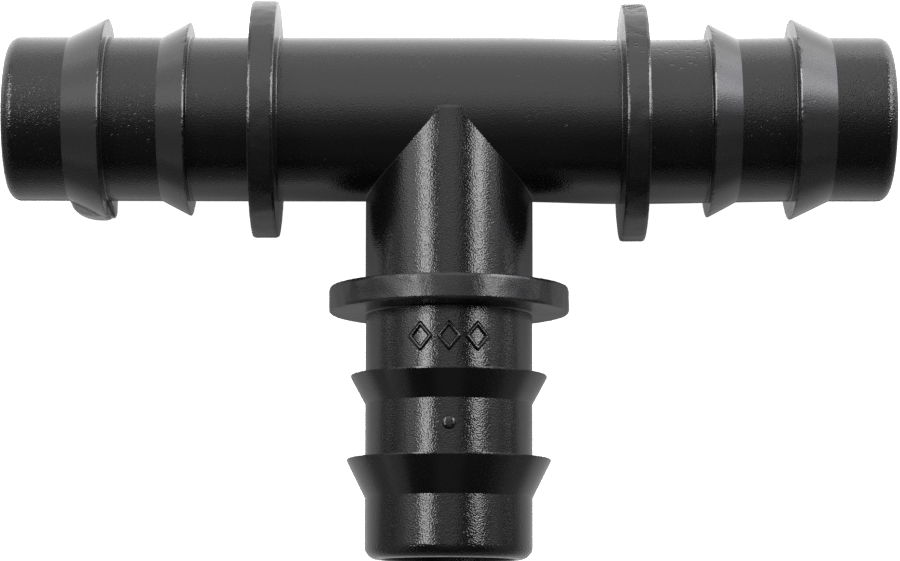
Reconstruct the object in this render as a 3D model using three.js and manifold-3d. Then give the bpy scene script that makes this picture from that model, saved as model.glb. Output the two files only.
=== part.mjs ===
// Barbed tee connector for 16 mm drip-irrigation hose.
//
// One black plastic moulding: a straight run with a branch at its middle, and on each of the three arms a
// stop collar, a spigot tube with two barbs, and a rounded mouth lip. Each moulded feature is its own solid,
// and the solids meet face to face.
//
// Millimetres, +Z up. The tee lies flat on the rims of its three collars, with the origin under the middle of
// its footprint. The run lies along X and the branch points along -Y.

import * as THREE from 'three';
import { mergeVertices } from 'three/addons/utils/BufferGeometryUtils.js';
import Module from 'manifold-3d';

// ---- Driving dimensions ----

// Tube and bore. The tube slides into a 16 mm hose, whose bore is 13.6 mm.
const TUBE_R = 6.75;
const BORE_R = 5.4;
const BOSS_R = 6.83; // the branch between the saddle and its collar is a touch wider than the run
const BOSS_RISE = 0.3; // how far the boss reaches past the run's axis, which blunts the saddle's tip

// Stations along an arm, measured from where the run and branch axes cross.
const COLLAR_START = 13.95;
const COLLAR_THICKNESS = 2.2;
const COLLAR_END = COLLAR_START + COLLAR_THICKNESS;
const MOUTH = COLLAR_END + 19.95;

// Stop collar.
const COLLAR_R = 9.75;
const COLLAR_EDGE = 0.25; // rounding of the rim's two edges

// Barbs: each has a steep back facing the collar and a long ramp facing the mouth.
const BARBS = {
  inner: { back: COLLAR_END + 5.05, crestR: 7.95, ramp: 2.35 },
  outer: { back: COLLAR_END + 11.85, crestR: 8.25, ramp: 3.15 },
};
const CREST_LAND = 0.15; // the blunt flat along each crest

// Mouth lip: the last stretch of the tube, where its outer edge is rounded over.
const LIP_ROUND = 1.0; // rounding of the outer edge
const LIP_BEVEL = 0.15; // bevel of the inner edge
const LIP_START = MOUTH - LIP_ROUND;

// Raised marks on the branch's upper side: a row of plain diamond outlines, and one dot between the barbs.
const MARK_RISE = 0.15;
const DIAMOND_COUNT = 3;
const DIAMOND_PITCH = 2.3;
const DIAMOND_HALF_WIDTH = 1.0;
const DIAMOND_HALF_LENGTH = 1.25;
const DIAMOND_HOLLOW = 0.6; // size of the hollow inside the outline, as a share of the diamond
const DIAMOND_STATION = COLLAR_END + 2.5;
const DOT_R = 0.55;
const DOT_STATION = COLLAR_END + 9.4;

// Facets round a full turn, and along a rounded edge.
const TURN_SEGMENTS = 48;
const EDGE_SEGMENTS = 2;
const LIP_SEGMENTS = 4;
const DOT_SEGMENTS = 16;

// The tee's place: its axes are a collar radius above the surface, and the footprint is centred on the origin.
const AXIS_HEIGHT = COLLAR_R;
const RUN_Y = (MOUTH - COLLAR_R) / 2;

// ---- Materials ----

// Spark-textured plastic on the tubes, and smoother plastic on the collars, barbs and lips.
const texturedPlastic = () => plastic(0x1b1b1d, 0.45);
const smoothPlastic = () => plastic(0x222224, 0.55);

function plastic(color, roughness) {
  return new THREE.MeshStandardMaterial({ color, roughness, metalness: 0 });
}

// ---- Helpers ----

const wasm = await Module();
wasm.setup();

// A three.js geometry as a manifold-3d solid.
function toSolid(geometry) {
  const bare = geometry.clone();
  bare.deleteAttribute('normal');
  bare.deleteAttribute('uv');
  const merged = mergeVertices(bare, 1e-4);
  return new wasm.Manifold(
    new wasm.Mesh({
      numProp: 3,
      vertProperties: new Float32Array(merged.attributes.position.array),
      triVerts: new Uint32Array(merged.index.array),
    }),
  );
}

// A manifold-3d solid as a three.js geometry.
function toGeometry(solid) {
  const mesh = solid.getMesh();
  const positions = new Float32Array(mesh.numVert * 3);
  for (let i = 0; i < mesh.numVert; i++) {
    positions.set(mesh.vertProperties.subarray(i * mesh.numProp, i * mesh.numProp + 3), i * 3);
  }
  const geometry = new THREE.BufferGeometry();
  geometry.setAttribute('position', new THREE.BufferAttribute(positions, 3));
  geometry.setIndex(new THREE.BufferAttribute(new Uint32Array(mesh.triVerts), 1));
  geometry.computeVertexNormals();
  return geometry;
}

// Points [radius, station] of a quarter round about a centre, from one angle to another.
function quarterRound(centreR, centreStation, radius, fromAngle, toAngle, segments) {
  const points = [];
  for (let i = 0; i <= segments; i++) {
    const angle = fromAngle + ((toAngle - fromAngle) * i) / segments;
    points.push([centreR + radius * Math.cos(angle), centreStation + radius * Math.sin(angle)]);
  }
  return points;
}

// A body of revolution about +Y from a profile of [radius, station] points.
function revolve(points) {
  return new THREE.LatheGeometry(
    points.map(([radius, station]) => new THREE.Vector2(radius, station)),
    TURN_SEGMENTS,
  );
}

// A ring of revolution: its profile closes on itself.
function revolveRing(points) {
  return revolve([...points, points[0]]);
}

function solidCylinder(radius, fromStation, toStation) {
  return revolve([
    [0, fromStation],
    [radius, fromStation],
    [radius, toStation],
    [0, toStation],
  ]);
}

function namedMesh(name, geometry, material) {
  const mesh = new THREE.Mesh(geometry, material);
  mesh.name = name;
  return mesh;
}

// ---- Features of one arm, built along +Y from where the axes cross ----

// The spigot: the tube that the hose slides over, from the collar's inner face to the mouth lip.
function spigotGeometry() {
  return revolveRing([
    [BORE_R, COLLAR_START],
    [TUBE_R, COLLAR_START],
    [TUBE_R, LIP_START],
    [BORE_R, LIP_START],
  ]);
}

// The mouth lip: the end of the tube, rounded outside so that it enters the hose.
function lipGeometry() {
  return revolveRing([
    [BORE_R, LIP_START],
    ...quarterRound(TUBE_R - LIP_ROUND, LIP_START, LIP_ROUND, 0, Math.PI / 2, LIP_SEGMENTS),
    [BORE_R + LIP_BEVEL, MOUTH],
    [BORE_R, MOUTH - LIP_BEVEL],
  ]);
}

// The stop collar: a thick disc round the tube, with rounded rim edges.
function collarGeometry() {
  const rimR = COLLAR_R - COLLAR_EDGE;
  return revolveRing([
    [TUBE_R, COLLAR_START],
    ...quarterRound(rimR, COLLAR_START + COLLAR_EDGE, COLLAR_EDGE, -Math.PI / 2, 0, EDGE_SEGMENTS),
    ...quarterRound(rimR, COLLAR_END - COLLAR_EDGE, COLLAR_EDGE, 0, Math.PI / 2, EDGE_SEGMENTS),
    [TUBE_R, COLLAR_END],
  ]);
}

// A barb: a ring with a steep back, a narrow land at its crest and a ramp down to the tube.
function barbGeometry({ back, crestR, ramp }) {
  return revolveRing([
    [TUBE_R, back],
    [crestR, back],
    [crestR, back + CREST_LAND],
    [TUBE_R, back + ramp],
  ]);
}

// One arm: a spigot with its collar, its lip and its two barbs, turned about Z to point outwards.
function makeArm(side, turn) {
  const arm = new THREE.Group();
  arm.add(namedMesh(`${side}_spigot`, spigotGeometry(), texturedPlastic()));
  arm.add(namedMesh(`${side}_mouth_lip`, lipGeometry(), smoothPlastic()));
  arm.add(namedMesh(`${side}_stop_collar`, collarGeometry(), smoothPlastic()));
  for (const [place, barb] of Object.entries(BARBS)) {
    arm.add(namedMesh(`${side}_${place}_barb`, barbGeometry(barb), smoothPlastic()));
  }
  arm.rotation.z = turn;
  return arm;
}

// ---- The junction between the three collars ----

function makeJunction() {
  const run = toSolid(solidCylinder(TUBE_R, -COLLAR_START, COLLAR_START).rotateZ(-Math.PI / 2));
  const boss = toSolid(solidCylinder(BOSS_R, -BOSS_RISE, COLLAR_START).rotateZ(Math.PI));
  const runBore = toSolid(solidCylinder(BORE_R, -MOUTH, MOUTH).rotateZ(-Math.PI / 2));
  const branchBore = toSolid(solidCylinder(BORE_R, 0, MOUTH).rotateZ(Math.PI));
  const junction = run.add(boss).subtract(runBore).subtract(branchBore);
  return namedMesh('tee_junction', toGeometry(junction), texturedPlastic());
}

// ---- Raised marks on the upper side of the branch, which points along -Y ----

// The part of a thin shell round the branch that lies inside an upright cutter.
function markGeometry(cutter) {
  const shell = revolveRing([
    [TUBE_R, COLLAR_END],
    [TUBE_R + MARK_RISE, COLLAR_END],
    [TUBE_R + MARK_RISE, LIP_START],
    [TUBE_R, LIP_START],
  ]).rotateZ(Math.PI);
  return toGeometry(toSolid(shell).intersect(toSolid(cutter)));
}

// The corners of a diamond, at a share of its full size.
function diamondCorners(share) {
  const halfWidth = share * DIAMOND_HALF_WIDTH;
  const halfLength = share * DIAMOND_HALF_LENGTH;
  return [
    new THREE.Vector2(halfWidth, 0),
    new THREE.Vector2(0, halfLength),
    new THREE.Vector2(-halfWidth, 0),
    new THREE.Vector2(0, -halfLength),
  ];
}

function diamondCutter() {
  const outline = new THREE.Shape(diamondCorners(1));
  outline.holes.push(new THREE.Path(diamondCorners(DIAMOND_HOLLOW)));
  return new THREE.ExtrudeGeometry(outline, { depth: COLLAR_R, bevelEnabled: false });
}

function dotCutter() {
  return new THREE.CylinderGeometry(DOT_R, DOT_R, COLLAR_R, DOT_SEGMENTS)
    .rotateX(Math.PI / 2)
    .translate(0, 0, COLLAR_R / 2);
}

function makeMarks() {
  const marks = new THREE.Group();
  for (let i = 0; i < DIAMOND_COUNT; i++) {
    const x = (i - (DIAMOND_COUNT - 1) / 2) * DIAMOND_PITCH;
    const cutter = diamondCutter().translate(x, -DIAMOND_STATION, 0);
    marks.add(namedMesh(`diamond_mark_${i + 1}`, markGeometry(cutter), texturedPlastic()));
  }
  const cutter = dotCutter().translate(0, -DOT_STATION, 0);
  marks.add(namedMesh('dot_mark', markGeometry(cutter), texturedPlastic()));
  return marks;
}

// ---- The tee ----

const tee = new THREE.Group();
tee.add(makeJunction());
tee.add(makeArm('left', Math.PI / 2));
tee.add(makeArm('right', -Math.PI / 2));
tee.add(makeArm('branch', Math.PI));
tee.add(makeMarks());
tee.position.set(0, RUN_Y, AXIS_HEIGHT);

const part = new THREE.Group();
part.add(tee);

export default part;
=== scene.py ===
"""Barbed tee connector for 16 mm drip hose, moulded in black plastic.

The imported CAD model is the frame. Each of its nodes is replaced by a finer mesh of the same feature, with
moulded roundings, root fillets, a parting line and small flaws. The main sizes are read from the frame, and
the small ones are named below.
"""

import math

import bpy
import numpy as np
from mathutils import Matrix, Vector, noise


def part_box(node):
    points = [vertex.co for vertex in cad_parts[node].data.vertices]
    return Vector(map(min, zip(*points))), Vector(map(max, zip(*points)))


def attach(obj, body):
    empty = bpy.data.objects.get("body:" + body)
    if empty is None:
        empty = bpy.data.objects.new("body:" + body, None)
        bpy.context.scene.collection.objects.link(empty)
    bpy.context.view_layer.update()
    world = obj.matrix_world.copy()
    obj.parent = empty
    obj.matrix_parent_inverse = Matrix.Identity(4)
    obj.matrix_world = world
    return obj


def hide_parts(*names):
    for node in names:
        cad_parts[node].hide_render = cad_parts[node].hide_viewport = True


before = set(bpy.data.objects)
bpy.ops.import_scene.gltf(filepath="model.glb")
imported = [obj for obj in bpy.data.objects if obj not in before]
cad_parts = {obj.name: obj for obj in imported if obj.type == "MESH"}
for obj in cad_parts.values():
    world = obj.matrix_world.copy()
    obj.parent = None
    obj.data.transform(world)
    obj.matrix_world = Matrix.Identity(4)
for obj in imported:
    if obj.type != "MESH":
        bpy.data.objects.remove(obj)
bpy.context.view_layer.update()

# ---- Sizes ----

MM = 0.001

# From the frame.
SPIGOT_LOW, SPIGOT_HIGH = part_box("right_spigot")
COLLAR_LOW, COLLAR_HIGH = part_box("right_stop_collar")
LIP_LOW, LIP_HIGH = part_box("right_mouth_lip")
CENTRE = Vector((0, (SPIGOT_LOW.y + SPIGOT_HIGH.y) / 2, (SPIGOT_LOW.z + SPIGOT_HIGH.z) / 2))
TUBE_R = (SPIGOT_HIGH.z - SPIGOT_LOW.z) / 2
COLLAR_R = (COLLAR_HIGH.z - COLLAR_LOW.z) / 2
COLLAR_START = COLLAR_LOW.x
COLLAR_END = COLLAR_HIGH.x
LIP_START = LIP_LOW.x
MOUTH = LIP_HIGH.x

# Tube, bore and lip.
BORE_R = 5.4 * MM
BORE_LIMIT = 1.02 * BORE_R  # faces within this radius line the bore
LIP_ROUNDING = 0.999 * MM  # of the mouth's outer edge, a hair less than the lip's length
LIP_BEVEL = 0.15 * MM  # rounding of its inner edge
LINE_RISE = 0.035 * MM  # the parting line stands this proud
LINE_WIDTH = math.radians(0.9)  # turn from its ridge to its foot

# Junction.
BOSS_R = 6.83 * MM  # the branch's root, a touch wider than the run
BOSS_END = -0.05 * MM  # where the boss ends, along +Y from the run's axis
BOSS_EDGE = 0.25 * MM  # rounding of the boss's end
SADDLE_FILLET = 0.12 * MM  # rounding of the crease where the boss meets the run

# Rings that stand on the tube.
ROOT_FILLET = 0.14 * MM  # rounding where collars and barbs stand on the tube
EMBED = 0.25 * MM  # how deep a ring's foot is sunk into the tube
SKIM = 0.004 * MM  # how far below the tube's surface a fillet ends

# Collars.
COLLAR_DRAFT = {"left": 0.06 * MM, "right": 0.12 * MM, "branch": 0.06 * MM}  # its faces lean in this far
COLLAR_EDGE = 0.10 * MM  # rounding where a face meets the rim's bevel
RIM_BEVEL = 0.24 * MM  # width of the shallow bevel along each edge of a rim
RIM_ROUNDING = 0.3 * MM  # rounding where a bevel meets the rim
BACK_LEAN = {"left": 19.3, "right": 15.4, "branch": 15.4}  # degrees, of the bevel towards the crossing
FRONT_LEAN = {"left": 15.4, "right": 19.3, "branch": 15.4}  # degrees, of the bevel towards the mouth

# Barbs.
LAND = 0.15 * MM  # blunt facet along a barb's crest
LAND_LEAN = {"left": 15.4, "right": 19.3, "branch": 4.0}  # degrees by which it leans towards the mouth
CREST_ROUNDING = 0.03 * MM  # rounding of the land's edge at the back
LAND_ROUNDING = 0.04 * MM  # rounding of its edge at the ramp

# Raised marks. A section is a list of (share of the outline, share of the rise), from the foot inwards.
MARK_RISE = 0.25 * MM
DIAMOND_ROUNDING = 0.12 * MM
DIAMOND_SECTION = [
    (1.06, -0.4),
    (1.03, 0.05),
    (1.0, 0.45),
    (0.94, 0.8),
    (0.87, 0.96),
    (0.8, 1.0),
    (0.73, 0.96),
    (0.66, 0.8),
    (0.6, 0.45),
    (0.57, 0.05),
    (0.54, -0.4),
]
DOT_SECTION = [(1.03, -0.4), (1.0, 0.08), (0.93, 0.7), (0.8, 0.95), (0.5, 1.05), (0.2, 1.08)]

# ---- Flaws of the moulding ----

# Chips and burrs along the barbs' crests.
CHIPS = {"left": 0.05 * MM, "right": 0.065 * MM, "branch": 0.02 * MM}  # depth of the chips
CHIP_SIZE = 0.30 * MM
CHIP_REACH = 0.22 * MM  # how far below the crest the chips reach
CHIP_PATCH_SIZE = 2.5 * MM
CHIP_PATCHES = (-0.2, 0.3)  # noise at which patches of deeper chips start and are full
SHALLOW_CHIPS = 0.25  # share of the depth outside the patches
BURRS = 0.1  # and of the depth by which burrs stand out
CHIP_SHIFT = 0.8  # share of the depth by which the crest also wanders along the arm

# A lobe of flash on one barb, just under the parting line.
LOBE_HEIGHT = 1.28 * MM
LOBE_LENGTH = 3.45 * MM
LOBE_PEAK = 0.3  # where along its length it stands out furthest
LOBE_BACK = 0.3 * MM  # how far it reaches past the barb's back
LOBE_BACK_POWER = 4  # its outline is blunt behind the peak
LOBE_FRONT_POWER = 2  # and an even curve in front of it
LOBE_LEAN = 0.5  # its upper side runs outwards this much for each unit down
LOBE_CREASE = math.radians(1.0)  # turn from the parting line to where it starts
LOBE_GROOVE = 0.09 * MM  # depth of the crease
LOBE_GROOVE_WIDTH = 0.7 * LOBE_CREASE
LOBE_TURN = math.radians(20)  # turn over which it keeps growing
LOBE_REACH = math.radians(52)  # turn over which it dies away again

# Uneven collars.
RIM_REACH = (1.0 * MM, 0.1 * MM)  # below the rim, where a collar's flaws start and are full
RIM_WAVES = 0.03 * MM
RIM_WAVE_SIZE = 0.9 * MM
FACE_WAVES = 0.02 * MM
FACE_WAVE_SIZE = 0.7 * MM
CRUMPLE = 0.16 * MM  # depth of the wrinkles on the right collar's rim
CRUMPLE_SIZE = 0.34 * MM
CRUMPLE_MIDDLE = math.radians(285)
CRUMPLE_REACH = (math.radians(10.4), math.radians(26))  # turn to where they fade, and to where they end
CRUMPLE_ALONG = 0.35  # the wrinkles are long across the rim
CRUMPLE_ROUND = 1.3  # and close together round it
CRUMPLE_SLANT = 0.4
CRUMPLE_LIFT = 0.1  # share of the depth by which the rim between them stands out
OFF_CENTRE = 0.09 * MM  # the right collar's rim lies this far to -Y of its tube

# The run's bow.
BOW = 0.17 * MM  # the run bends this far to -Y at its right collar
BOW_START = 5 * MM
BOW_PEAK = 14 * MM
BOW_END = 30 * MM
BOW_RETURN = 0.06 * MM  # and lies this far to +Y beyond the bow's end

# Seeds of the flaws' noise.
RIM_SEED = 3
FACE_SEED = 4
CHIP_SEED = 5
CHIP_SHIFT_SEED = 6
CRUMPLE_SEED = 11
CHIP_PATCH_SEED = 21

# ---- Sampling of the meshes ----

TURN_STEP = math.radians(1.25)
FINE_STEP = math.radians(0.75)
APEX_STEP = math.radians(0.45)
APEX_REACH = math.radians(14)
LINE_SAMPLES = (0.25, 0.5, 0.75, 1.0)  # samples of the parting line, as shares of its width
TUBE_OUTLINE_STEP = 0.7 * MM
RING_OUTLINE_STEP = 0.3 * MM
MARK_OUTLINE_STEP = 0.12 * MM
CORNER_STEPS = 7
LIP_CORNER_STEPS = 14
DIAMOND_CORNER_STEPS = 5
DOT_STEPS = 48

# Rows of the junction's mesh, from the creases between its arms outwards.
FINE_REACH = 1.7 * MM
FINE_ROW = 0.08 * MM
ROW_GROWTH = 1.35
BORE_ROW = 0.5 * MM
BORE_ROW_GROWTH = 1.6
LONGEST_ROW = 1.0 * MM
LAST_ROW = 0.97  # the last row but one stays within this share of the reach
ROW_SQUEEZE = 1.5  # power by which rows are squeezed towards the collar
WELD = 0.0001 * MM  # points on a crease closer than this are one

# Newton's steps that settle the junction's outer points on its surface.
SETTLE_ROUNDS = 12
SETTLE_PROBE = 1e-7
SETTLE_STEP = 0.1 * MM  # longest step
LEAST_SLOPE = 0.25  # least squared slope that a step is taken for
TINY = 1e-12  # keeps a division from failing
LEAST_SPREAD = 1e-4  # least squared sine between the run's and the boss's surfaces


# ---- Arms: where a point of a turned shape lies ----


class Arm:
    """One of the tee's three arms, along a direction from the crossing of the axes."""

    def __init__(self, name, direction):
        self.name = name
        self.direction = np.array(direction, float)
        self.up = np.array((0.0, 0.0, 1.0))
        self.side = np.cross(self.direction, self.up)

    def points(self, station, radius, angle):
        """World points at stations along the arm, radii from its axis and angles from straight up."""
        station, radius, angle = np.broadcast_arrays(station, radius, angle)
        return (
            np.array(CENTRE)
            + station[..., None] * self.direction
            + (radius * np.cos(angle))[..., None] * self.up
            + (radius * np.sin(angle))[..., None] * self.side
        )


ARMS = [Arm("left", (-1, 0, 0)), Arm("right", (1, 0, 0)), Arm("branch", (0, -1, 0))]


def turn_angles(step=TURN_STEP, apex=False):
    """Angles round a turn, closer together at the parting line and, if asked, at the top and bottom."""
    angles = set(np.round(np.arange(0, 2 * math.pi - 1e-6, step), 9))
    for line in (math.pi / 2, 3 * math.pi / 2):
        for share in LINE_SAMPLES:
            angles.add(round(line + share * LINE_WIDTH, 9))
            angles.add(round(line - share * LINE_WIDTH, 9))
    if apex:
        count = int(APEX_REACH / APEX_STEP)
        for middle in (0, math.pi):
            for i in range(-count, count + 1):
                angles.add(round((middle + i * APEX_STEP) % (2 * math.pi), 9))
    return np.array(sorted(angles))


def line_rise(angle):
    """How far the parting line's ridge stands out at an angle: it lies in the plane of the tee."""
    away = np.abs(np.abs(np.mod(angle, math.pi) - math.pi / 2))
    return LINE_RISE * (1 - smoothstep(away, 0, LINE_WIDTH))


def smoothstep(value, low, high):
    share = np.clip((value - low) / (high - low), 0, 1)
    return share * share * (3 - 2 * share)


# ---- Outlines ----


def corner_arc(before, corner, after, steps):
    """The arc that rounds a corner between its neighbours."""
    rounding = corner[2]
    if rounding == 0:
        return [corner[:2]]
    p = Vector(corner[:2])
    to_before = (Vector(before[:2]) - p).normalized()
    to_after = (Vector(after[:2]) - p).normalized()
    half = to_before.angle(to_after) / 2
    centre = p + (to_before + to_after).normalized() * rounding / math.sin(half)
    start = p + to_before * rounding / math.tan(half) - centre
    turn = start.angle_signed(p + to_after * rounding / math.tan(half) - centre)
    arc = []
    for i in range(steps + 1):
        angle = -turn * i / steps
        cos, sin = math.cos(angle), math.sin(angle)
        arc.append((centre.x + start.x * cos - start.y * sin, centre.y + start.x * sin + start.y * cos))
    return arc


def rounded(corners, steps=CORNER_STEPS):
    """A closed outline from corners (along, out, rounding)."""
    points = []
    for i, corner in enumerate(corners):
        points += corner_arc(corners[i - 1], corner, corners[(i + 1) % len(corners)], steps)
    return points


def with_short_steps(points, longest):
    """A closed outline with its long straights divided."""
    result = []
    for (x0, y0), (x1, y1) in zip(points, points[1:] + points[:1]):
        parts = max(1, math.ceil(math.hypot(x1 - x0, y1 - y0) / longest))
        result += [(x0 + (x1 - x0) * i / parts, y0 + (y1 - y0) * i / parts) for i in range(parts)]
    return result


# ---- Meshes ----


def grid_faces(rows, columns, close_columns=False):
    """Quads over a grid of vertices numbered row by row, whose last row joins its first."""
    faces = []
    for i in range(rows):
        for j in range(columns if close_columns else columns - 1):
            here = i * columns
            beyond = ((i + 1) % rows) * columns
            k = (j + 1) % columns
            faces.append((here + j, here + k, beyond + k, beyond + j))
    return faces


def face_volume(vertices, faces):
    """Six times the volume inside the faces, positive when they face out."""
    total = 0.0
    for size in {len(face) for face in faces}:
        corners = vertices[np.array([face for face in faces if len(face) == size])]
        for i in range(1, size - 1):
            total += np.sum(corners[:, 0] * np.cross(corners[:, i], corners[:, i + 1]))
    return total


def bowed(vertices):
    """Vertices moved sideways by the run's slight bow, which leaves the branch as it is."""
    x, y = vertices[:, 0], vertices[:, 1] - CENTRE.y
    bend = smoothstep(x, BOW_START, BOW_PEAK) * (1 - smoothstep(x, BOW_PEAK, BOW_END))
    shift = -BOW * bend + BOW_RETURN * smoothstep(x, BOW_PEAK, BOW_END)
    on_run = smoothstep(y, -COLLAR_START, -COLLAR_R)
    return vertices + (shift * on_run)[:, None] * np.array((0.0, 1.0, 0.0))


def make_piece(name, vertices, faces, materials, node, sharp=35.0, zones=None):
    """A closed mesh that stands for a CAD node.

    Edges that turn by more than sharp degrees stay sharp. zones gives each face its material's index.
    """
    vertices = bowed(np.asarray(vertices, float))
    if face_volume(vertices - np.array(CENTRE), faces) < 0:
        faces = [face[::-1] for face in faces]
    mesh = bpy.data.meshes.new(name)
    mesh.from_pydata(vertices.tolist(), [], faces)
    mesh.shade_smooth()
    mesh.set_sharp_from_angle(angle=math.radians(sharp))
    for material in materials:
        mesh.materials.append(material)
    if zones is not None:
        mesh.polygons.foreach_set("material_index", zones)
    piece = bpy.data.objects.new(name, mesh)
    bpy.context.scene.collection.objects.link(piece)
    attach(piece, "root")
    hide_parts(node)
    return piece


def smooth_noise(points, size, seed):
    """Smooth noise from -1 to 1 at an array of points, with features of about a size."""
    flat = points.reshape(-1, 3) / size + np.array((seed, 0.0, 0.0))
    return np.array([noise.noise(Vector(p)) for p in flat]).reshape(points.shape[:-1])


def bore_zone(radius, angles):
    """Which faces of a turned piece line the bore."""
    inside = (radius < BORE_LIMIT) & (np.roll(radius, -1) < BORE_LIMIT)
    return np.tile(inside, (len(angles), 1))


def lobe_zone(radius, angles):
    """Which faces of the lobed barb belong to the lobe of flash, on the ramp's side; these take its painted
    sheen.
    """
    under = math.radians(270) - angles
    on_ramp = np.arange(len(radius)) >= np.argmax(radius)
    return ((under > LOBE_CREASE) & (under < LOBE_TURN))[:, None] & on_ramp[None, :]


def turned_piece(name, arm, outline, materials, node, zone=None, flaws=None, step=TURN_STEP):
    """A ring: a closed outline of (station, radius) turned about an arm's axis.

    zone says which faces take the second material, from the outline's radii and the angles. flaws takes the
    grids of stations, radii and angles and returns the changed stations and radii.
    """
    angles = turn_angles(step)
    station = np.array([p[0] for p in outline])
    radius = np.array([p[1] for p in outline])
    outside = radius > TUBE_R - EMBED / 2
    radii = radius[None, :] + np.where(outside, 1.0, 0.0)[None, :] * line_rise(angles)[:, None]
    stations, turns = np.broadcast_arrays(station[None, :], angles[:, None])
    if flaws:
        stations, radii = flaws(stations, radii, turns)
    points = arm.points(stations, radii, turns).reshape(-1, 3)
    faces = grid_faces(len(angles), len(outline), close_columns=True)
    zones = zone(radius, angles).astype(np.int32).ravel() if zone else None
    return make_piece(name, points, faces, materials, node, zones=zones)


# ---- Materials ----

# Colours of the plastic.
DEEP_BLACK = (0.003, 0.003, 0.0032)
SOFT_BLACK = (0.004, 0.004, 0.0043)
# The lobe of flash's grey is painted sheen, standing in for the light it mirrors at a grazing angle.
FLASH_SHEEN_GREY = (0.07, 0.07, 0.07)

UNEVEN = 0.012 * MM  # depth of the moulding's slow unevenness
UNEVEN_SIZE = 2.6 * MM

# Roughness varies slowly over the surface.
MOTTLE_SIZE = 3.0 * MM
MOTTLE_NOISE = (0.3, 0.7)  # from this noise to this
SMOOTHER = 0.02  # at most this much smoother
ROUGHER = 0.03  # and this much rougher

# Dust, burrs and glints, common at the run's ends.
PALE_WEAR = (0.42, 0.42, 0.40, 1)  # dust and scuffed plastic
PALENESS = 0.06
SPECK_SPACING = 0.25 * MM
SPECK_RISE = 0.014 * MM
SPECK_RARITY = 2.0
SPECK_SIZE = (0.05, 0.2)  # radii where a speck starts to fall and is gone, as shares of the spacing
FEW_SPECKS = 0.3  # share of them in the run's middle and on the branch
GLINT_SIZE = 0.10 * MM  # a sharper grain at the run's ends, which glints
GLINT_RISE = 0.013 * MM
FEW_GLINTS = 0.4
RUN_ENDS = (14 * MM, 26 * MM)  # from here to here along the run, specks and glints grow common

# Scuffs that all lean the same way.
SCUFF_LENGTH = 0.8 * MM
SCUFF_GAP = 0.24 * MM
SCUFF_LEAN = math.radians(27)
SCUFF_DEPTH = 0.014 * MM
SCUFF_RARITY = 3.0
SCUFF_SIZE = (0.08, 0.24)
SCUFF_CLUSTER = 5.0 * MM
SCUFF_CLUSTERS = (0.42, 0.66)  # noise at which the clusters start and are full

# A patch of shallow dents beside the right collar.
DENT_DEPTH = 0.07 * MM
DENT_LENGTH = 0.75 * MM
DENT_GAP = 0.32 * MM
DENT_RARITY = 1.2
DENT_SIZE = (0.05, 0.38)
PATCH_PLACE = 17 * MM
PATCH_REACH = (3.25 * MM, 6.5 * MM)  # along the run from its place, where it fades and ends
PATCH_SIDE = (CENTRE.y + 2.2 * MM, CENTRE.y + 4.0 * MM)  # it lies beyond this on the far side


class Nodes:
    """A short way to build a node tree."""

    def __init__(self, tree):
        self.tree = tree

    def add(self, kind, inputs=None, **settings):
        node = self.tree.nodes.new(kind)
        for key, value in settings.items():
            setattr(node, key, value)
        for key, value in (inputs or {}).items():
            if isinstance(value, bpy.types.NodeSocket):
                self.tree.links.new(value, node.inputs[key])
            else:
                node.inputs[key].default_value = value
        return node

    def math(self, operation, a, b=0.0):
        return self.add("ShaderNodeMath", {0: a, 1: b}, operation=operation).outputs[0]

    def place(self):
        """The object's own coordinates, which for the tee's pieces are the world's."""
        return self.add("ShaderNodeTexCoord").outputs["Object"]

    def split(self, vector):
        return self.add("ShaderNodeSeparateXYZ", {"Vector": vector}).outputs

    def length(self, vector):
        return self.add("ShaderNodeVectorMath", {0: vector}, operation="LENGTH").outputs["Value"]

    def ramp(self, value, low, high, to_low=0.0, to_high=1.0):
        return self.add(
            "ShaderNodeMapRange",
            {"Value": value, "From Min": low, "From Max": high, "To Min": to_low, "To Max": to_high},
            interpolation_type="SMOOTHSTEP",
        ).outputs["Result"]

    def noise(self, place, size, detail=0.0):
        """Noise with features of about a size, from 0 to 1."""
        inputs = {"Vector": place, "Scale": 1.0 / size, "Detail": detail}
        return self.add("ShaderNodeTexNoise", inputs).outputs["Fac"]


def new_material(name):
    """A material, the builder of its nodes, and its shader."""
    material = bpy.data.materials.new(name)
    material.use_nodes = True
    return material, Nodes(material.node_tree), material.node_tree.nodes["Principled BSDF"]


def plastic(name, colour, rough, grain, grain_size, wear=0.0, gloss=0.5):
    """Black moulded plastic: spark-eroded grain, slow unevenness, a dented patch and, where worn, wear.

    grain is its depth, wear the strength of the specks, scuffs and glints, and gloss the specular level.
    """
    material, n, shader = new_material(name)
    shader.inputs["Base Color"].default_value = (*colour, 1)
    shader.inputs["Specular IOR Level"].default_value = gloss
    place = n.place()
    layers = [(n.noise(place, grain_size), grain), (n.noise(place, UNEVEN_SIZE, detail=1.0), UNEVEN)]
    if wear:
        layers += wear_layers(n, shader, place, wear)
    layers.append((dented_patch(n, place), -DENT_DEPTH))
    height = 0.0
    for pattern, rise in layers:
        height = n.math("ADD", height, n.math("MULTIPLY", pattern, rise))
    bump = n.add("ShaderNodeBump", {"Strength": 1.0, "Distance": 1.0, "Height": height})
    n.tree.links.new(bump.outputs["Normal"], shader.inputs["Normal"])

    mottle = n.noise(place, MOTTLE_SIZE, detail=3.0)
    roughness = n.ramp(mottle, *MOTTLE_NOISE, rough - SMOOTHER, rough + ROUGHER)
    n.tree.links.new(roughness, shader.inputs["Roughness"])
    return material


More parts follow.
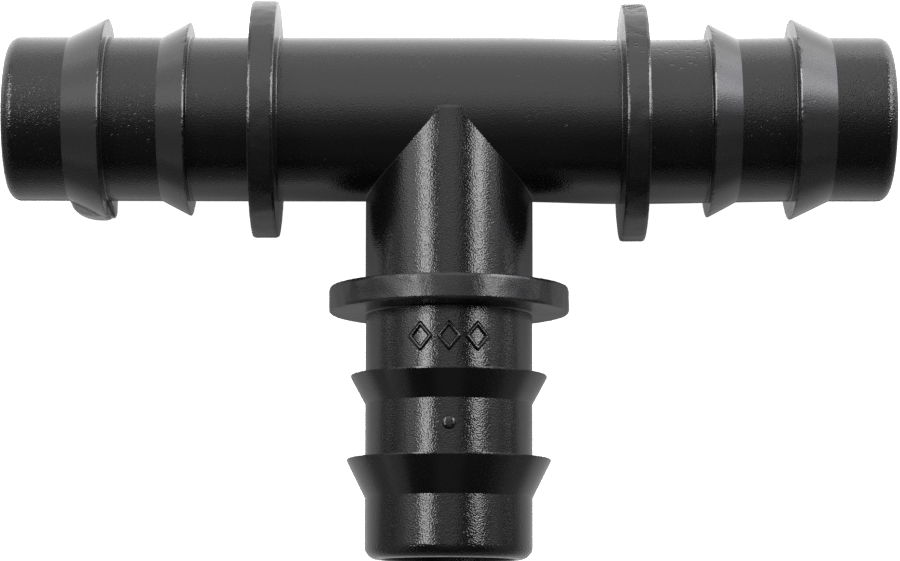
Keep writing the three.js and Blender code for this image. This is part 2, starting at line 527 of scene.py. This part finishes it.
def wear_layers(n, shader, place, wear):
    """Glints, specks and scuffs as (pattern, rise), after making the specks and scuffs paler."""
    glinting = n.math("MULTIPLY", run_ends(n, place, FEW_GLINTS), wear)
    glints = n.math("MULTIPLY", n.noise(place, GLINT_SIZE), glinting)
    specks = n.math("MULTIPLY", speck_dots(n, place), wear)
    scuffs = n.math("MULTIPLY", scuff_dashes(n, place), wear)
    pale = n.math("MULTIPLY", n.math("MAXIMUM", specks, scuffs), PALENESS)
    colour = tuple(shader.inputs["Base Color"].default_value)
    mix = n.add("ShaderNodeMix", {"Factor": pale, "A": colour, "B": PALE_WEAR}, data_type="RGBA")
    n.tree.links.new(mix.outputs["Result"], shader.inputs["Base Color"])
    return [(glints, GLINT_RISE), (specks, SPECK_RISE), (scuffs, -SCUFF_DEPTH)]


def scattered(n, place, size, rarity):
    """Dots scattered one to a cell, from 0 to 1, most of them faint.

    size holds the radii where a dot starts to fall and is gone. A higher rarity leaves fewer bright dots.
    """
    cells = n.add("ShaderNodeTexVoronoi", {"Vector": place, "Scale": 1.0, "Randomness": 1.0})
    dot = n.ramp(cells.outputs["Distance"], *size, 1.0, 0.0)
    chance = n.add("ShaderNodeSeparateColor", {"Color": cells.outputs["Color"]}).outputs["Red"]
    return n.math("MULTIPLY", dot, n.math("POWER", chance, rarity))


def in_cells(n, place, along, across, lean=0.0):
    """Coordinates in cells of a size along X and across it, after a turn about Z."""
    turned = n.add("ShaderNodeMapping", {"Vector": place, "Rotation": (0, 0, -lean)}).outputs[0]
    scale = (1 / along, 1 / across, 1 / along)
    return n.add("ShaderNodeMapping", {"Vector": turned, "Scale": scale}).outputs[0]


def run_ends(n, place, middle):
    """1 at the run's ends, falling to a value for its middle and the branch."""
    off = n.math("ABSOLUTE", n.split(place)["X"])
    return n.ramp(off, *RUN_ENDS, middle, 1.0)


def speck_dots(n, place):
    """Tiny specks of dust and burr, most of them towards the run's ends."""
    dots = scattered(n, in_cells(n, place, SPECK_SPACING, SPECK_SPACING), SPECK_SIZE, SPECK_RARITY)
    return n.math("MULTIPLY", dots, run_ends(n, place, FEW_SPECKS))


def scuff_dashes(n, place):
    """Short scuffs that all lean the same way, in clusters."""
    cells = in_cells(n, place, SCUFF_LENGTH, SCUFF_GAP, SCUFF_LEAN)
    clusters = n.ramp(n.noise(place, SCUFF_CLUSTER, detail=1.0), *SCUFF_CLUSTERS)
    return n.math("MULTIPLY", scattered(n, cells, SCUFF_SIZE, SCUFF_RARITY), clusters)


def dented_patch(n, place):
    """Shallow dents on the far side of the run, beside its right collar."""
    split = n.split(place)
    off = n.math("ABSOLUTE", n.math("SUBTRACT", split["X"], PATCH_PLACE))
    here = n.math("MULTIPLY", n.ramp(off, *PATCH_REACH, 1.0, 0.0), n.ramp(split["Y"], *PATCH_SIDE))
    dents = scattered(n, in_cells(n, place, DENT_LENGTH, DENT_GAP), DENT_SIZE, DENT_RARITY)
    return n.math("MULTIPLY", dents, here)


def textured_plastic():
    """The tubes, the junction and the marks: fine spark-eroded grain."""
    return plastic(
        "black_textured", DEEP_BLACK, rough=0.17, grain=0.0135 * MM, grain_size=0.115 * MM, wear=1.0,
    )


def satin_plastic():
    """The run's collars."""
    return plastic(
        "black_satin", SOFT_BLACK, rough=0.23, grain=0.010 * MM, grain_size=0.125 * MM, wear=0.5, gloss=0.6,
    )


def dull_plastic():
    """The branch's collar."""
    return plastic(
        "black_dull", SOFT_BLACK, rough=0.28, grain=0.010 * MM, grain_size=0.125 * MM, wear=0.5,
    )


def pitted_plastic():
    """The mouth lips: a deeper grain."""
    return plastic(
        "black_pitted", SOFT_BLACK, rough=0.19, grain=0.030 * MM, grain_size=0.14 * MM, wear=1.0,
    )


def smooth_plastic():
    """The barbs."""
    return plastic(
        "black_smooth", SOFT_BLACK, rough=0.205, grain=0.005 * MM, grain_size=0.12 * MM, wear=0.4, gloss=0.6,
    )


def bore_plastic():
    """The bores: smooth, dull and unworn."""
    return plastic(
        "black_bore", DEEP_BLACK, rough=0.4, grain=0.005 * MM, grain_size=0.2 * MM,
    )


def flash_sheen_plastic():
    """The lobe of flash: paler than its barb, a grey that is painted sheen standing in for its grazing
    reflection, with a stronger specular level too.
    """
    return plastic(
        "black_flash_painted_sheen", FLASH_SHEEN_GREY, rough=0.3, grain=0.002 * MM, grain_size=0.13 * MM, gloss=1.0,
    )


# ---- Rings on the tubes ----


def ring_on_tube(arm, corners, name, materials, flaws, zone=None):
    """A ring standing on the tube, from the corners of its outline above the surface."""
    outline = with_short_steps(rounded(corners), RING_OUTLINE_STEP)
    skin = f"{name}_skin"
    return turned_piece(skin, arm, outline, materials, name, zone, flaws, FINE_STEP)


def worn_rim(arm):
    """The flaws of a collar: an uneven rim and, on the right collar, wrinkles and an off-centre rim."""

    def flaws(stations, radii, turns):
        points = arm.points(stations, radii, turns)
        rim = smoothstep(radii, COLLAR_R - RIM_REACH[0], COLLAR_R - RIM_REACH[1])
        shift = RIM_WAVES * smooth_noise(points, RIM_WAVE_SIZE, RIM_SEED)
        if arm.name == "right":
            shift = shift - wrinkles(stations, radii, turns) + OFF_CENTRE * np.sin(turns)
        lean = FACE_WAVES * rim * smooth_noise(points, FACE_WAVE_SIZE, FACE_SEED)
        return stations + lean, radii + rim * shift

    return flaws


def wrinkles(stations, radii, turns):
    """Depth of the wrinkles on the right collar's rim."""
    across = radii * turns * CRUMPLE_ROUND + stations * CRUMPLE_SLANT
    place = np.stack([stations * CRUMPLE_ALONG, across, 0 * turns], -1)
    folds = np.abs(smooth_noise(place, CRUMPLE_SIZE, CRUMPLE_SEED)) - CRUMPLE_LIFT
    return CRUMPLE * folds * (1 - smoothstep(np.abs(turns - CRUMPLE_MIDDLE), *CRUMPLE_REACH))


def make_collar(arm, material):
    draft = COLLAR_DRAFT[arm.name]
    back_drop = RIM_BEVEL * math.tan(math.radians(BACK_LEAN[arm.name]))
    front_drop = RIM_BEVEL * math.tan(math.radians(FRONT_LEAN[arm.name]))
    foot = TUBE_R - EMBED
    skim = TUBE_R - SKIM
    corners = [
        (COLLAR_START - 2 * ROOT_FILLET, foot, 0),
        (COLLAR_START - 2 * ROOT_FILLET, skim, 0),
        (COLLAR_START, skim, ROOT_FILLET),
        (COLLAR_START + draft, COLLAR_R - back_drop, COLLAR_EDGE),
        (COLLAR_START + draft + RIM_BEVEL, COLLAR_R, RIM_ROUNDING),
        (COLLAR_END - draft - RIM_BEVEL, COLLAR_R, RIM_ROUNDING),
        (COLLAR_END - draft, COLLAR_R - front_drop, COLLAR_EDGE),
        (COLLAR_END, skim, ROOT_FILLET),
        (COLLAR_END + 2 * ROOT_FILLET, skim, 0),
        (COLLAR_END + 2 * ROOT_FILLET, foot, 0),
    ]
    return ring_on_tube(arm, corners, f"{arm.name}_stop_collar", [material], worn_rim(arm))


def lobe_growth(stations, radii, turns, back):
    """How much further out a barb's points lie for its lobe of flash, just under the parting line."""
    share = np.clip((stations - back + LOBE_BACK) / LOBE_LENGTH, 0, 1)
    behind = np.clip(1 - share / LOBE_PEAK, 0, 1) ** LOBE_BACK_POWER
    before = np.clip((share - LOBE_PEAK) / (1 - LOBE_PEAK), 0, 1) ** LOBE_FRONT_POWER
    reach = TUBE_R + LOBE_HEIGHT * np.sqrt(1 - np.where(share < LOBE_PEAK, behind, before))
    under = math.radians(270) - turns
    fall = np.clip(under - LOBE_CREASE, 0, LOBE_TURN)
    leaning = radii / (np.cos(fall) - LOBE_LEAN * np.sin(fall))
    full = np.minimum(leaning, reach / np.cos(fall))
    hanging = (under > 0) * (1 - smoothstep(under, LOBE_TURN, LOBE_REACH))
    groove = LOBE_GROOVE * np.exp(-(((under - LOBE_CREASE) / LOBE_GROOVE_WIDTH) ** 2))
    return np.maximum(full - radii, 0) * hanging - groove


def worn_barb(arm, back, crest, lobed):
    """The flaws of a barb: a chipped crest and, on one barb, a lobe of flash."""

    def flaws(stations, radii, turns):
        points = arm.points(stations, radii, turns)
        near = smoothstep(radii, crest - CHIP_REACH, crest - CREST_ROUNDING)
        patchy = smoothstep(smooth_noise(points, CHIP_PATCH_SIZE, CHIP_PATCH_SEED), *CHIP_PATCHES)
        depth = CHIPS[arm.name] * near * (SHALLOW_CHIPS + (1 - SHALLOW_CHIPS) * patchy)
        radii = radii - depth * np.maximum(smooth_noise(points, CHIP_SIZE, CHIP_SEED), -BURRS)
        stations = stations + CHIP_SHIFT * depth * smooth_noise(points, CHIP_SIZE, CHIP_SHIFT_SEED)
        if lobed:
            above = smoothstep(radii, TUBE_R - 0.5 * EMBED, TUBE_R - 2 * SKIM)
            growth = above * lobe_growth(stations, radii, turns, back)
            near_back = 1 - smoothstep(stations, back, back + 2 * LOBE_BACK)
            stations = stations - LOBE_BACK * near_back * np.clip(growth / LOBE_HEIGHT, 0, 1)
            radii = radii + growth
        return stations, radii

    return flaws


def make_barb(arm, place, material, flash_sheen_material):
    name = f"{arm.name}_{place}_barb"
    low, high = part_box(f"right_{place}_barb")
    back, end, crest = low.x, high.x, (high.z - low.z) / 2
    shoulder = crest - LAND * math.tan(math.radians(LAND_LEAN[arm.name]))
    slope = (shoulder - TUBE_R) / (end - back - LAND)
    foot = TUBE_R - EMBED
    skim = TUBE_R - SKIM
    corners = [
        (back - 2 * ROOT_FILLET, foot, 0),
        (back - 2 * ROOT_FILLET, skim, 0),
        (back, skim, ROOT_FILLET),
        (back, crest, CREST_ROUNDING),
        (back + LAND, shoulder, LAND_ROUNDING),
        (end + EMBED / slope, foot, 0),
    ]
    lobed = name == "left_outer_barb"
    materials = [material, flash_sheen_material] if lobed else [material]
    flaws = worn_barb(arm, back, crest, lobed)
    return ring_on_tube(arm, corners, name, materials, flaws, lobe_zone if lobed else None)


# ---- Tubes and lips ----


def make_spigot(arm, tube_material, bore_material):
    corners = [
        (COLLAR_START, BORE_R, 0),
        (COLLAR_START, TUBE_R, 0),
        (LIP_START, TUBE_R, 0),
        (LIP_START, BORE_R, 0),
    ]
    outline = with_short_steps(rounded(corners), TUBE_OUTLINE_STEP)
    name = f"{arm.name}_spigot"
    materials = [tube_material, bore_material]
    return turned_piece(f"{name}_tube", arm, outline, materials, name, bore_zone)


def make_lip(arm, lip_material, bore_material):
    corners = [
        (LIP_START, BORE_R, 0),
        (LIP_START, TUBE_R, 0),
        (MOUTH, TUBE_R, LIP_ROUNDING),
        (MOUTH, BORE_R, LIP_BEVEL),
    ]
    outline = with_short_steps(rounded(corners, LIP_CORNER_STEPS), RING_OUTLINE_STEP)
    name = f"{arm.name}_mouth_lip"
    materials = [lip_material, bore_material]
    return turned_piece(f"{name}_rim", arm, outline, materials, name, bore_zone)


# ---- The junction ----


def run_surface(x, y, z):
    """Signed distance to the run's tube, and its outward normal."""
    out = np.hypot(y, z)
    return out - TUBE_R, np.stack([0 * x, y / out, z / out], 1)


def boss_surface(x, y, z):
    """Signed distance to the boss, whose end is rounded, and its outward normal."""
    out = np.hypot(x, z)
    across = out - (BOSS_R - BOSS_EDGE)
    along = y - (BOSS_END - BOSS_EDGE)
    past = np.hypot(np.maximum(across, 0), np.maximum(along, 0))
    distance = past + np.minimum(np.maximum(across, along), 0) - BOSS_EDGE
    outwards = np.where(past > 0, np.maximum(across, 0) / np.maximum(past, TINY), 1.0)
    rise = np.where(past > 0, np.maximum(along, 0) / np.maximum(past, TINY), 0.0)
    return distance, np.stack([outwards * x / out, rise, outwards * z / out], 1)


def saddle_distance(p):
    """Signed distance to the run and the boss, with a rolled fillet where they meet.

    p holds points about the crossing of the axes.
    """
    run, run_normal = run_surface(*p.T)
    boss, boss_normal = boss_surface(*p.T)
    cos = np.sum(run_normal * boss_normal, 1)
    spread = np.maximum(1 - cos**2, LEAST_SPREAD)
    u, v = SADDLE_FILLET - run, SADDLE_FILLET - boss
    rolled = SADDLE_FILLET - np.sqrt(np.maximum(u**2 + v**2 - 2 * cos * u * v, 0) / spread)
    in_fillet = (u > 0) & (v > 0) & (u > cos * v) & (v > cos * u)
    return np.where(in_fillet, rolled, np.minimum(run, boss))


def settled_on_saddle(points):
    """Points moved onto the filleted saddle by Newton's steps."""
    points = points.copy()
    for _ in range(SETTLE_ROUNDS):
        value = saddle_distance(points)
        probes = SETTLE_PROBE * np.eye(3)
        rises = [saddle_distance(points + probe) - saddle_distance(points - probe) for probe in probes]
        gradient = np.stack(rises, 1) / (2 * SETTLE_PROBE)
        slope = np.maximum(np.sum(gradient**2, 1), LEAST_SLOPE)
        points -= np.clip(value / slope, -SETTLE_STEP, SETTLE_STEP)[:, None] * gradient
    return points


def graded_rows(fine_reach, fine_step, growth):
    """Distances from a crease, close together near it and wider further off, up to the collar's station."""
    rows = list(np.arange(0, fine_reach, fine_step))
    step = fine_step
    while rows[-1] + step * growth < COLLAR_START * LAST_ROW:
        step = min(step * growth, LONGEST_ROW)
        rows.append(rows[-1] + step)
    return np.array(rows + [COLLAR_START])


def arm_rows(crease, rows):
    """For each angle, stations from its crease to the collar: true distances near it, squeezed beyond."""
    reach = rows[-1]
    short = reach + crease - COLLAR_START
    return crease[:, None] + rows[None, :] - short[:, None] * (rows[None, :] / reach) ** ROW_SQUEEZE


def saddle_grids(radius, angles, rows):
    """For each arm, a grid of points about the crossing: a line of rows from its crease at each angle."""
    crease = np.abs(radius * np.sin(angles))
    on_branch_side = angles <= math.pi + 1e-9
    stations = arm_rows(np.where(on_branch_side, crease, 0.0), rows)
    down = arm_rows(crease, rows)
    side = radius * np.sin(angles)[:, None] + 0 * stations
    up = radius * np.cos(angles)[:, None] + 0 * stations
    return {
        "right": np.stack([stations, -side, up], 2),
        "left": np.stack([-stations, -side, up], 2),
        "branch": np.stack([side, -down, up], 2),
    }


def numbered_faces(numbers, flipped):
    """Quads over a grid of vertex numbers."""
    flat = numbers.ravel()
    faces = [tuple(int(flat[corner]) for corner in face) for face in grid_faces(*numbers.shape)]
    return [face[::-1] for face in faces] if flipped else faces


def junction_skin(radius, angles, rows):
    """The three arms' patches of one skin of the junction, with shared vertices along their creases.

    Returns the vertices, the faces, and the vertex numbers of the ring at each arm's end.
    """
    vertices = []
    faces = []
    ends = {}
    found = {}
    for key, grid in saddle_grids(radius, angles, rows).items():
        numbers = np.empty(grid.shape[:2], int)
        for i, j in np.ndindex(numbers.shape):
            spot = tuple(np.round(grid[i, 0] / WELD).astype(int)) if j == 0 else (key, i, j)
            if spot not in found:
                found[spot] = len(vertices)
                vertices.append(grid[i, j])
            numbers[i, j] = found[spot]
        faces += numbered_faces(numbers, flipped=key == "left")
        ends[key] = numbers[:, -1]
    return np.array(vertices), faces, ends


def make_junction(tube_material, bore_material):
    angles = turn_angles(apex=True)
    outer_rows = graded_rows(FINE_REACH, FINE_ROW, ROW_GROWTH)
    inner_rows = graded_rows(BORE_ROW, BORE_ROW, BORE_ROW_GROWTH)
    outer, outer_faces, outer_ends = junction_skin(TUBE_R, angles, outer_rows)
    inner, inner_faces, inner_ends = junction_skin(BORE_R, angles, inner_rows)
    shift = len(outer)
    faces = outer_faces + [tuple(v + shift for v in face[::-1]) for face in inner_faces]
    zones = [0] * len(outer_faces) + [1] * len(inner_faces)
    for key in outer_ends:
        rim = np.stack([outer_ends[key], inner_ends[key] + shift], 1)
        faces += numbered_faces(rim, flipped=key == "left")
    zones += [0] * (len(faces) - len(zones))
    vertices = np.concatenate([settled_on_saddle(outer), inner]) + np.array(CENTRE)
    materials = [tube_material, bore_material]
    return make_piece(
        "tee_junction_body", vertices, faces, materials, "tee_junction",
        sharp=50.0, zones=zones,
    )


# ---- Raised marks ----


def relief_piece(node, outline, section, closed_middle, material):
    """A raised mark on the branch's upper side, whose outline is its edge about its middle."""
    low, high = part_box(node)
    middle = (low + high) / 2
    points = []
    for x, y in outline:
        for share, height in section:
            across = middle.x + x * share
            reach = TUBE_R + MARK_RISE * height
            points.append((across, middle.y + y * share, CENTRE.z + math.sqrt(reach**2 - across**2)))
    rows, columns = len(outline), len(section)
    faces = grid_faces(rows, columns, close_columns=not closed_middle)
    if closed_middle:
        faces.append(tuple(i * columns for i in range(rows)))
        faces.append(tuple(i * columns + columns - 1 for i in reversed(range(rows))))
    return make_piece(f"{node}_relief", points, faces, [material], node, sharp=60.0)


def make_diamond(node, material):
    low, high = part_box(node)
    half = (high - low) / 2
    tips = [(half.x, 0), (0, half.y), (-half.x, 0), (0, -half.y)]
    corners = [(x, y, DIAMOND_ROUNDING) for x, y in tips]
    outline = with_short_steps(rounded(corners, DIAMOND_CORNER_STEPS), MARK_OUTLINE_STEP)
    return relief_piece(node, outline, DIAMOND_SECTION, False, material)


def make_dot(node, material):
    low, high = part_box(node)
    radius = (high.x - low.x) / 2
    turns = np.linspace(0, 2 * math.pi, DOT_STEPS, endpoint=False)
    circle = [(radius * math.cos(turn), radius * math.sin(turn)) for turn in turns]
    return relief_piece(node, circle, DOT_SECTION, True, material)


# ---- Stage ----

FLOOR_HALF = 3.0
FLOOR_WHITE = 0.86
FLOOR_ROUGHNESS = 0.9
FLOOR_GLOW = 1.0  # near the tee
FAR_GLOW = 0.8
GLOW_REACH = (0.08, 0.45)  # from this far to this far from the middle, the floor's glow falls

# The mirrored floor: a glowing sheet seen only in reflections, with the tee's shade painted into its glow.
MIRRORED_DEPTH = 0.2 * MM  # it lies this far below the seen one
NORTH_GLOW = 1.85  # its glow north of the tee
NORTH_EDGE = (2 * MM, 16 * MM)
NORTH_EAST_GLOW = 1.6  # added in the north-east
NORTH_EAST_X = (30 * MM, 75 * MM)
NORTH_EAST_Y = (24 * MM, 60 * MM)
SOUTH_GLOW = 0.68  # its glow on the other sides, past the tee's painted shade
SHADE_EDGE = (4 * MM, 40 * MM)
SOUTH_FAR_GLOW = 0.2  # and further off
SOUTH_FAR_EDGE = (38 * MM, 65 * MM)


def flat_sheet(name, height, white):
    """A large level square, with the builder of its material's nodes and its shader."""
    h = FLOOR_HALF
    mesh = bpy.data.meshes.new(name)
    mesh.from_pydata([(-h, -h, 0), (h, -h, 0), (h, h, 0), (-h, h, 0)], [], [(0, 1, 2, 3)])
    material, n, shader = new_material(f"{name}_sheet")
    shader.inputs["Base Color"].default_value = (white, white, white, 1)
    shader.inputs["Roughness"].default_value = FLOOR_ROUGHNESS
    shader.inputs["Emission Color"].default_value = (1, 1, 1, 1)
    mesh.materials.append(material)
    sheet = bpy.data.objects.new(name, mesh)
    sheet.location.z = height
    bpy.context.scene.collection.objects.link(sheet)
    return sheet, n, shader


def make_floor():
    """A white sheet with a glow of its own, which grows dimmer away from the tee. Reflections miss it."""
    sheet, n, shader = flat_sheet("floor", 0, FLOOR_WHITE)
    glow = n.ramp(n.length(n.place()), *GLOW_REACH, FLOOR_GLOW, FAR_GLOW)
    n.tree.links.new(glow, shader.inputs["Emission Strength"])
    sheet.visible_glossy = False
    sheet.visible_shadow = False


def make_mirrored_floor():
    """The floor as the plastic mirrors it: a glow painted bright to the north, and darker to the south where
    the tee's shade is painted in.
    """
    sheet, n, shader = flat_sheet("mirrored_floor", -MIRRORED_DEPTH, 0.0)
    crossing = (0, CENTRE.y, 0)
    from_crossing = n.add("ShaderNodeVectorMath", {0: n.place(), 1: crossing}, operation="SUBTRACT")
    centred = from_crossing.outputs["Vector"]
    away = n.length(centred)
    split = n.split(centred)
    north_east = n.math("MULTIPLY", n.ramp(split["X"], *NORTH_EAST_X), n.ramp(split["Y"], *NORTH_EAST_Y))
    north_glow = n.math("ADD", n.math("MULTIPLY", north_east, NORTH_EAST_GLOW), NORTH_GLOW)
    past_shade = n.ramp(away, *SHADE_EDGE, 0.0, SOUTH_GLOW)
    falling = n.ramp(away, *SOUTH_FAR_EDGE, 1.0, SOUTH_FAR_GLOW / SOUTH_GLOW)
    south_glow = n.math("MULTIPLY", past_shade, falling)
    north = n.ramp(split["Y"], *NORTH_EDGE)
    glow = n.add("ShaderNodeMix", {"Factor": north, "A": south_glow, "B": north_glow}, data_type="FLOAT")
    n.tree.links.new(glow.outputs["Result"], shader.inputs["Emission Strength"])
    sheet.visible_camera = False
    sheet.visible_diffuse = False
    sheet.visible_shadow = False


# ---- Lights and camera ----

CAMERA_LENS = 119.24  # millimetres, on a sensor 36 mm wide
CAMERA_SENSOR = 36.0
CAMERA_NEAR = 0.01
CAMERA_PLACE = Vector((-0.21, -46.33, 241.34)) * MM  # from the crossing of the axes
CAMERA_TILT = 0.1358  # radians off straight down
CAMERA_PAN = -0.0014
CAMERA_ROLL = 0.0016

WHITE = (1.0, 1.0, 1.0)
COOL = (0.955, 0.945, 1.0)

# Name, angles across and along, width, height, brightness and colour.
SOFTBOXES = [
    ("north_panel", 0, 62, 0.42, 0.80, 1.72, WHITE),
    ("north_foot", 0, 20, 0.34, 0.17, 1.3, WHITE),
    ("near_foot", 0, 4, 0.34, 0.17, 0.53, WHITE),
    ("overhead_fill", 0, -33, 0.30, 0.66, 0.07, WHITE),
    ("overhead_middle", 0, -14, 0.30, 0.20, 0.12, WHITE),
    ("left_strip", -32.6, 28, 0.13, 0.53, 11.6, WHITE),
    ("right_strip", 41, 38, 0.155, 0.47, 11.0, WHITE),
    ("left_side", -56, 60, 0.22, 0.72, 1.7, WHITE),
    ("left_gap", -32, 79, 0.26, 0.50, 0.9, WHITE),
    ("left_far", -75, 68, 0.16, 0.11, 0.9, WHITE),
    ("left_low", -64, -14, 0.32, 0.86, 0.38, WHITE),
    ("left_near", -64, 8, 0.32, 0.30, 0.2, WHITE),
    ("right_side", 52.5, 82, 0.26, 0.56, 4.25, COOL),
    ("right_gap", 30, 84, 0.20, 0.44, 1.0, COOL),
    ("right_far", 75, 68, 0.16, 0.11, 1.0, COOL),
    ("right_middle", 58, 42, 0.20, 0.26, 1.25, COOL),
    ("right_near", 71, 8, 0.24, 0.30, 0.3, COOL),
    ("right_low", 64, -14, 0.30, 0.70, 0.25, COOL),
]
LIGHT_DISTANCE = 0.6

# The world's glow, from the horizon up.
HORIZON = (0.03, 0.16)  # heights, of 1, between which it falls
HORIZON_GLOW = 0.18
SKY_GLOW = 0.01


def make_softbox(name, across, along, width, height, bright, colour):
    """A flat light that faces the tee and looks this bright.

    across and along are its angles from the camera's axis, towards +X and towards +Y, in degrees.
    """
    flat = math.radians(across)
    lean = math.radians(along) - CAMERA_TILT
    away = Vector((math.sin(flat), math.cos(flat) * math.sin(lean), math.cos(flat) * math.cos(lean)))
    upward = Vector((0, math.cos(lean), -math.sin(lean)))
    light = bpy.data.lights.new(name, "AREA")
    light.shape = "RECTANGLE"
    light.size = width
    light.size_y = height
    light.energy = bright * width * height * math.pi
    light.color = colour
    lamp = bpy.data.objects.new(name, light)
    lamp.rotation_euler = Matrix((upward.cross(away), upward, away)).transposed().to_euler()
    lamp.location = CENTRE + LIGHT_DISTANCE * away
    lamp.visible_camera = False
    bpy.context.scene.collection.objects.link(lamp)


def make_world():
    world = bpy.data.worlds.new("studio")
    world.use_nodes = True
    n = Nodes(world.node_tree)
    background = world.node_tree.nodes["Background"]
    background.inputs["Color"].default_value = (1, 1, 1, 1)
    direction = n.add("ShaderNodeTexCoord").outputs["Generated"]
    glow = n.ramp(n.split(direction)["Z"], *HORIZON, HORIZON_GLOW, SKY_GLOW)
    n.tree.links.new(glow, background.inputs["Strength"])
    bpy.context.scene.world = world


def make_camera():
    data = bpy.data.cameras.new("camera")
    data.lens = CAMERA_LENS
    data.sensor_width = CAMERA_SENSOR
    data.clip_start = CAMERA_NEAR
    camera = bpy.data.objects.new("camera", data)
    camera.location = CENTRE + CAMERA_PLACE
    camera.rotation_euler = (CAMERA_TILT, CAMERA_PAN, CAMERA_ROLL)
    bpy.context.scene.collection.objects.link(camera)
    bpy.context.scene.camera = camera


# ---- The scene ----


def make_tee():
    textured = textured_plastic()
    satin = satin_plastic()
    dull = dull_plastic()
    pitted = pitted_plastic()
    smooth = smooth_plastic()
    bore = bore_plastic()
    flash = flash_sheen_plastic()
    make_junction(textured, bore)
    for arm in ARMS:
        make_spigot(arm, textured, bore)
        make_lip(arm, pitted, bore)
        make_collar(arm, dull if arm.name == "branch" else satin)
        for place in ("inner", "outer"):
            make_barb(arm, place, smooth, flash)
    for number in (1, 2, 3):
        make_diamond(f"diamond_mark_{number}", textured)
    make_dot("dot_mark", textured)


def make_studio():
    make_floor()
    make_mirrored_floor()
    for softbox in SOFTBOXES:
        make_softbox(*softbox)
    make_world()
    make_camera()
    bpy.context.scene.view_settings.view_transform = "Standard"
    bpy.context.scene.cycles.use_denoising = False


make_tee()
make_studio()
